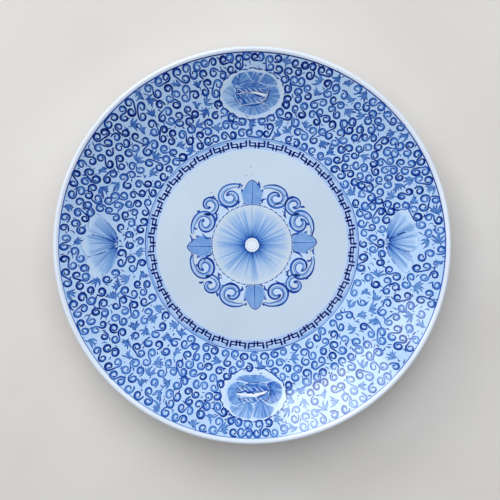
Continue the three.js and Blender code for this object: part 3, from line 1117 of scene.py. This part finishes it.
def paint_scroll(painting, washes, centre, start, hand, radius, lead):
    """A small scroll that ends in a dark bead, with a wash inside the curl. Lead is the line that
    flows into its start."""
    turns = random.uniform(1.0, 1.25)
    t = np.linspace(0, 1, SCROLL_STEPS)
    inner = random.uniform(0.20, 0.32)
    squash = 1 + 0.09 * math.sin(random.uniform(0, TAU))
    reach = radius * (1 - (1 - inner) * t ** random.uniform(1.7, 2.4))
    around = polar(reach, start + hand * turns * TAU * t) * (squash, 1 / squash)
    curl = np.asarray(centre) + around
    line = np.vstack([lead[:-1], curl])
    t = np.linspace(-(len(lead) - 1) / SCROLL_STEPS, 1, len(line))
    body = random.uniform(2.1, 3.0)
    widths = np.interp(t, (-0.3, 0, 0.3, 0.6, 0.82, 0.93, 1),
                       (1.3, 1.8, body, body * 0.8, 1.0, 1.5, 0.8))
    solid = np.clip((t - 0.7) / 0.14, 0, 1)[:, None]
    # A random ink strength, times the painted shade (upper left) and painted highlight (lower right).
    strength = random.choice((0.78, 0.92, 1.06, 1.24)) * painted_shade_and_highlight(centre)
    ink = (np.array(SCROLL_ACROSS[::hand]) * (1 - solid) + 0.98 * solid) * strength
    painting.stroke(line, widths, ink * (1 + 0.2 * wander(t, 6))[:, None])
    inside = centre + (around * WASH_INWARD)[:WASH_STEPS]
    washes.stroke(inside, (0.6, 2.2, 0.6), WASH_INK * strength)


def paint_spray(painting, site):
    """A leafy spray: a soft blot with pointed fingers, darker strokes in it and loose dashes by it."""
    heading = random.uniform(0, TAU)
    hub = np.asarray(site) - polar(2.0, heading)
    fingers = random.integers(4, 7)
    # A random ink tone, times the painted shade (upper left) and painted highlight (lower right).
    tone = random.uniform(0.8, 1.05) * painted_shade_and_highlight(site)
    spread = random.uniform(0.36, 0.5)
    for i in range(fingers):
        angle = heading + (i - (fingers - 1) / 2) * spread + random.normal(0, 0.06)
        tip = hub + polar(random.uniform(4.2, 7.0), angle)
        ink = np.outer(taper(9, 1.0, 0.85, 1.3, 0.5), (0.66, 0.56, 0.50, 0.54, 0.62)) * tone
        painting.flick(hub, tip, random.uniform(-0.2, 0.2), 9,
                       (2.1, random.uniform(2.1, 3.0), 0.5, 0.45), ink)
        if random.random() < 0.55:
            start, end = hub + (tip - hub) * 0.35, tip + (tip - hub) * 0.08
            painting.flick(start, end, 0.1, 7, (0.3, 1.0, 0.4, 0.6), 0.92 * tone)
    painting.flick(hub - polar(0.8, heading), hub + polar(1.6, heading), 0.2, 6,
                   (0.8, 2.4, 0.7), 0.8 * tone)
    root = hub - polar(random.uniform(1.8, 3.4), heading + 0.4)
    painting.flick(hub + polar(0.6, heading), root, 0.2, 7, (2.4, 1.5, 0.5, 0.4),
                   taper(7, 0.55, 0.6, 0.75) * tone)
    for i in range(random.integers(2, 4)):
        start = hub + polar(random.uniform(4.2, 5.6), heading + random.uniform(1.6, 4.6))
        end = start + polar(random.uniform(1.2, 2.4), random.uniform(0, TAU))
        painting.flick(start, end, 0.15, 5, (0.5, 1.0, 0.35), random.uniform(0.6, 0.95) * tone)


VINE_COUNT = 46
VINE_ACROSS = (0.34, 0.1, -0.22, 0.1, 0.34)


def clear_of_flowers(points, spare):
    """Whether each point lies outside every flower's ellipse when that is grown by spare."""
    clear = np.ones(len(points), bool)
    for x, y, half_x, half_y in PEONIES + FANS:
        scaled = (points - (x, y)) / (half_x + spare, half_y + spare)
        clear &= np.hypot(scaled[:, 0], scaled[:, 1]) > 1
    return clear


def paint_vines():
    """Faint pale stems between thin grey-blue lines, which run under the scrolls."""
    vines = Painting(lift=0.03)
    for i in range(VINE_COUNT):
        angle = TAU * (i + random.uniform(-0.3, 0.3)) / VINE_COUNT
        inward = random.random() < 0.5
        start, end = (BAND_LOW + 2, BAND_LOW + 36) if inward else (BAND_HIGH - 1, BAND_HIGH - 34)
        sweep = random.choice((-1, 1)) * random.uniform(0.10, 0.24)
        t = np.linspace(0, 1, 28)
        sway = 1.6 * np.sin(t * TAU * random.uniform(0.8, 1.3) + random.uniform(0, TAU))
        radius = start + (end - start) * t
        line = polar(radius, angle + sweep * t ** 1.3 + sway / radius)
        if clear_of_flowers(line, 2).all():
            vines.stroke(line, (1.8, 1.5, 0.8), [VINE_ACROSS] * len(line))
    vines.make("scroll_vines", band_glaze, "cobalt_scroll_glaze")


def paint_scrolls(scrolls, painting_at, washes):
    """Scrolls joined two by two with an S or a heart between them, and single ones with a tail."""
    gap = scrolls[:, None] - scrolls[None]
    distance = np.hypot(gap[..., 0], gap[..., 1])
    np.fill_diagonal(distance, np.inf)
    free = set(range(SCROLL_COUNT))
    for a in random.permutation(SCROLL_COUNT).tolist():
        if a not in free:
            continue
        free.discard(a)
        b = min(free, key=lambda other: distance[a, other], default=None)
        radius = random.uniform(2.5, 3.05)
        if b is None or distance[a, b] > PAIR_REACH or random.random() < SINGLE_SHARE:
            hand = random.choice((-1, 1))
            nearest = scrolls[int(distance[a].argmin())] - scrolls[a]
            start = math.atan2(nearest[1], nearest[0]) + hand * random.uniform(0.9, 1.5)
            first = scrolls[a] + polar(radius, start)
            tail = first + polar(random.uniform(1.6, 3.0), start - hand * TAU / 4)
            lead = segment(tail, first, -0.14 * hand, 6)
            paint_scroll(painting_at(scrolls[a]), washes, scrolls[a], start, hand, radius, lead)
            continue
        free.discard(b)
        middle = (scrolls[a] + scrolls[b]) / 2
        scrolls[[a, b]] += (middle - scrolls[[a, b]]) * random.uniform(0.10, 0.18)
        between = scrolls[b] - scrolls[a]
        ahead = math.atan2(between[1], between[0])
        hand = random.choice((-1, 1))
        if random.random() < S_SHARE:
            lean = math.acos(min(0.98, 2 * radius / math.hypot(*between)))
            starts, hands = (ahead + hand * lean, ahead + math.pi + hand * lean), (hand, hand)
        else:
            starts, hands = (ahead + hand * TAU / 4, ahead + hand * TAU / 4), (hand, -hand)
        ends = [scrolls[site] + polar(radius, start) for site, start in zip((a, b), starts)]
        middle = (ends[0] + ends[1]) / 2
        for centre, start, way, end in zip(scrolls[[a, b]], starts, hands, ends):
            lead = segment(middle, end, 0, 4)
            paint_scroll(painting_at(centre), washes, centre, start, way, radius, lead)


def paint_dashes(scrolls, sprays, painting_at):
    """Loose dashes, one after another in the widest gap that is left."""
    everywhere = np.vstack([scrolls, sprays])
    reach = np.append(np.full(SCROLL_COUNT, 3.2), np.full(SPRAY_COUNT, 5.0))
    spots = polar(np.sqrt(random.uniform((BAND_LOW + 3) ** 2, (BAND_HIGH - 1) ** 2, DASH_TRIALS)),
                  random.uniform(0, TAU, DASH_TRIALS))
    gap = spots[:, None] - everywhere[None]
    room = (np.hypot(gap[..., 0], gap[..., 1]) - reach).min(1)
    room = np.where(clear_of_flowers(spots, 1), room, -1)
    for _ in range(DASH_COUNT):
        site = spots[int(room.argmax())]
        room = np.minimum(room, np.hypot(*(spots - site).T) - DASH_SPACING)
        end = site + polar(random.uniform(1.4, 2.8), random.uniform(0, TAU))
        bend = random.uniform(-0.3, 0.3)
        widths = (0.4, random.uniform(0.9, 1.7), 0.5, 0.6)
        ink = random.uniform(0.55, 0.95)
        painting_at(site).flick(site - (end - site) / 2, end, bend, 7, widths, ink)


def paint_scroll_band():
    scrolls, sprays = relaxed_sites()
    paintings = [Painting(lift=0.05) for _ in range(SECTORS)]
    washes = Painting(lift=0.035)

    def painting_at(site):
        return paintings[math.floor(math.atan2(site[1], site[0]) / TAU * SECTORS) % SECTORS]

    paint_scrolls(scrolls, painting_at, washes)
    for site in sprays:
        paint_spray(painting_at(site), site)
    paint_dashes(scrolls, sprays, painting_at)
    for sector, painting in enumerate(paintings):
        painting.make(f"scroll_strokes_{sector:02d}", band_glaze, "cobalt_scroll_glaze")
    washes.make("scroll_washes", band_glaze, "cobalt_scroll_glaze")
    paint_vines()

    rim = Painting(lift=0.05)
    upper = 0.5 + 0.5 * np.sin(RING_PLACES * TAU + 0.2)
    rim.stroke(full_ring(RIM_LINE), 0.75 + 0.45 * upper + 0.15 * wander(RING_PLACES, 40),
               0.42 + 0.46 * upper + 0.14 * wander(RING_PLACES, 24))
    rim.make("rim_line", band_glaze, "cobalt_scroll_glaze")


# ---- Floor, light and camera ----

FLOOR_SIZE = 6.0
LIGHT_AIM = (0, 0, 0.02)
DAYLIGHT = (0.97, 0.985, 0.99)
SKYLIGHT = (0.93, 0.97, 1.04)
# Each light's azimuth and elevation in degrees, its distance, width and length in metres, its power
# in watts and its colour.
LIGHTS = {
    "window": (120, 33, 2.4, 1.5, 0.86, 17, DAYLIGHT),
    "window_gleam": (115, 31, 2.4, 0.9, 0.8, 8, DAYLIGHT),
    "window_side": (156, 33, 2.4, 0.5, 0.44, 2.2, DAYLIGHT),
    "overhead": (100, 73, 2.2, 2.4, 2.4, 47, SKYLIGHT),
}
ROOM_COLOUR = (0.9, 0.95, 1.0, 1.0)
ROOM_STRENGTH = 0.13
CAMERA_PLACE = (0.0, 0.0254, 1.0)
CAMERA_AIM = (-0.00155, -0.0030, 0.046)
LENS = 90.3


def point_at(thing, aim):
    direction = Vector(aim) - Vector(thing.location)
    thing.rotation_euler = direction.to_track_quat("-Z", "Y").to_euler()


def make_stage():
    """A plain pale floor under the dish."""
    nodes = Nodes("floor_material")
    tone = nodes.spread(nodes.noise(9, 3), 0, 1)
    colour = nodes.mix(tone, srgb(222, 216, 208), srgb(229, 224, 217))
    nodes.set(nodes.shader.inputs["Base Color"], colour)
    nodes.shader.inputs["Roughness"].default_value = 0.7
    half = FLOOR_SIZE / 2
    mesh = bpy.data.meshes.new("floor")
    mesh.from_pydata([(-half, -half, 0), (half, -half, 0), (half, half, 0), (-half, half, 0)], [],
                     [(0, 1, 2, 3)])
    mesh.materials.append(nodes.material)
    floor = bpy.data.objects.new("floor", mesh)
    bpy.context.scene.collection.objects.link(floor)


def make_light(name, azimuth, elevation, distance, width, length, power, colour):
    azimuth, elevation = math.radians(azimuth), math.radians(elevation)
    lamp = bpy.data.lights.new(name, "AREA")
    lamp.shape = "RECTANGLE"
    lamp.size = width
    lamp.size_y = length
    lamp.energy = power
    lamp.color = colour
    light = bpy.data.objects.new(name, lamp)
    flat = distance * math.cos(elevation)
    height = distance * math.sin(elevation)
    light.location = (flat * math.cos(azimuth), flat * math.sin(azimuth), height)
    point_at(light, LIGHT_AIM)
    bpy.context.scene.collection.objects.link(light)
    return light


def make_view():
    """The window and the room's light, and the camera above the dish as the photo has it."""
    scene = bpy.context.scene
    scene.view_settings.view_transform = "Standard"
    lights = {name: make_light(name, *settings) for name, settings in LIGHTS.items()}
    lights["window_gleam"].visible_diffuse = False
    lights["overhead"].visible_glossy = False
    world = bpy.data.worlds.new("studio")
    world.use_nodes = True
    background = world.node_tree.nodes["Background"]
    background.inputs["Color"].default_value = ROOM_COLOUR
    background.inputs["Strength"].default_value = ROOM_STRENGTH
    scene.world = world
    camera = bpy.data.objects.new("camera", bpy.data.cameras.new("camera"))
    camera.data.lens = LENS
    camera.location = CAMERA_PLACE
    across, up, down = Vector(CAMERA_AIM) - Vector(CAMERA_PLACE)
    camera.rotation_euler = (math.atan2(up, -down), -math.atan2(across, -down), 0)
    scene.collection.objects.link(camera)
    scene.camera = camera


make_body()
paint_outside()
paint_specks()
paint_fret()
paint_medallion()
paint_flowers()
paint_scroll_band()
make_stage()
make_view()
